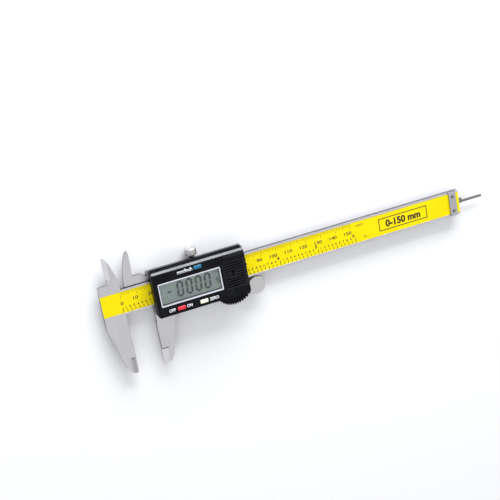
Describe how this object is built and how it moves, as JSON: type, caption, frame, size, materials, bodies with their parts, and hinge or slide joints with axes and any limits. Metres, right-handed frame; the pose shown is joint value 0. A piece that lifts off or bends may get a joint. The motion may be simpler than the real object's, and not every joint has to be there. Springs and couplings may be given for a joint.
{
  "type": "digital caliper",
  "caption": "Electronic sliding caliper with outside and inside jaws, depth rod, yellow scale label, display module, lock screw and thumb roller.",
  "frame": {"origin": "middle of the fixed jaw's outside measuring face", "axes": "+X along the beam towards its end, +Y across the beam towards the inside jaws, +Z out of the face that carries the display"},
  "size_m": [0.2546, 0.077, 0.0145],
  "materials": {
    "steel": "satin ground stainless steel",
    "dark_steel": "darkened steel",
    "brass": "satin",
    "black_plastic": "fine satin grain",
    "label_yellow": "printed film",
    "board_green": "circuit board",
    "display_grey": "liquid-crystal display",
    "lens_clear": "clear",
    "frame_silver": "bright",
    "rubber_grey": "matte",
    "button_red": "satin",
    "button_cream": "satin",
    "button_blue": "satin"
  },
  "bodies": {
    "beam": {"main_beam": "steel", "scale_strip": "board_green", "scale_label": "label_yellow", "end_stop_plate": "steel", "end_stop_screw_upper": "dark_steel", "end_stop_screw_lower": "dark_steel"},
    "slider": {"slider_frame": "steel", "gib_strip": "brass", "gib_set_screw_left": "dark_steel", "gib_set_screw_right": "dark_steel", "depth_rod": "dark_steel", "back_plate": "steel", "back_plate_screw_1": "dark_steel", "back_plate_screw_2": "dark_steel", "back_plate_screw_3": "dark_steel", "back_plate_screw_4": "dark_steel", "module_screw_1": "dark_steel", "module_screw_2": "dark_steel", "module_screw_3": "dark_steel", "module_screw_4": "dark_steel", "module_base": "black_plastic", "circuit_board": "board_green", "controller_chip": "black_plastic", "dome_power": "brass", "dome_zero": "brass", "dome_unit": "brass", "zebra_strip_upper": "rubber_grey", "zebra_strip_lower": "rubber_grey", "lcd_panel": "display_grey", "window_lens": "lens_clear", "window_frame": "frame_silver", "cover_shell": "black_plastic", "battery_cell": "steel", "battery_contact_negative": "brass", "battery_contact_positive": "brass", "port_contact_board": "board_green", "roller_axle": "steel"},
    "roller": {"thumb_roller": "steel"},
    "lock": {"lock_screw": "steel"},
    "power_key": {"power_button": "button_red"},
    "zero_key": {"zero_button": "button_cream"},
    "unit_key": {"unit_button": "button_blue"},
    "battery_door": {"battery_cover": "black_plastic"},
    "port_door": {"port_cover": "black_plastic"}
  },
  "joints": [
    {"name": "slider_travel", "type": "slide", "parent": "beam", "child": "slider", "axis": [1, 0, 0], "range_m": [-0.0166, 0.1333]},
    {"name": "roller_turn", "type": "hinge", "parent": "slider", "child": "roller", "pos_m": [0.0824, 0.0193, 0.00165], "axis": [0, 0, 1], "range_deg": [-178, 1395]},
    {"name": "lock_turn", "type": "hinge", "parent": "slider", "child": "lock", "pos_m": [0.0466, 0.0514, -0.0005], "axis": [0, 1, 0], "range_deg": [-180, 180]},
    {"name": "power_press", "type": "slide", "parent": "slider", "child": "power_key", "axis": [0, 0, -1], "range_m": [0, 0.0005], "stiffness_N_per_m": 600, "springref_m": -0.0002},
    {"name": "zero_press", "type": "slide", "parent": "slider", "child": "zero_key", "axis": [0, 0, -1], "range_m": [0, 0.0005], "stiffness_N_per_m": 600, "springref_m": -0.0002},
    {"name": "unit_press", "type": "slide", "parent": "slider", "child": "unit_key", "axis": [0, 0, -1], "range_m": [0, 0.0005], "stiffness_N_per_m": 600, "springref_m": -0.0002},
    {"name": "battery_door_slide", "type": "slide", "parent": "slider", "child": "battery_door", "axis": [1, 0, 0], "range_m": [0, 0.0143]},
    {"name": "port_door_slide", "type": "slide", "parent": "slider", "child": "port_door", "axis": [1, 0, 0], "range_m": [0, 0.0129]}
  ],
  "couplings": [
    {"joint": "roller_turn", "follows": "slider_travel", "rad_per_m": 181.82}
  ]
}
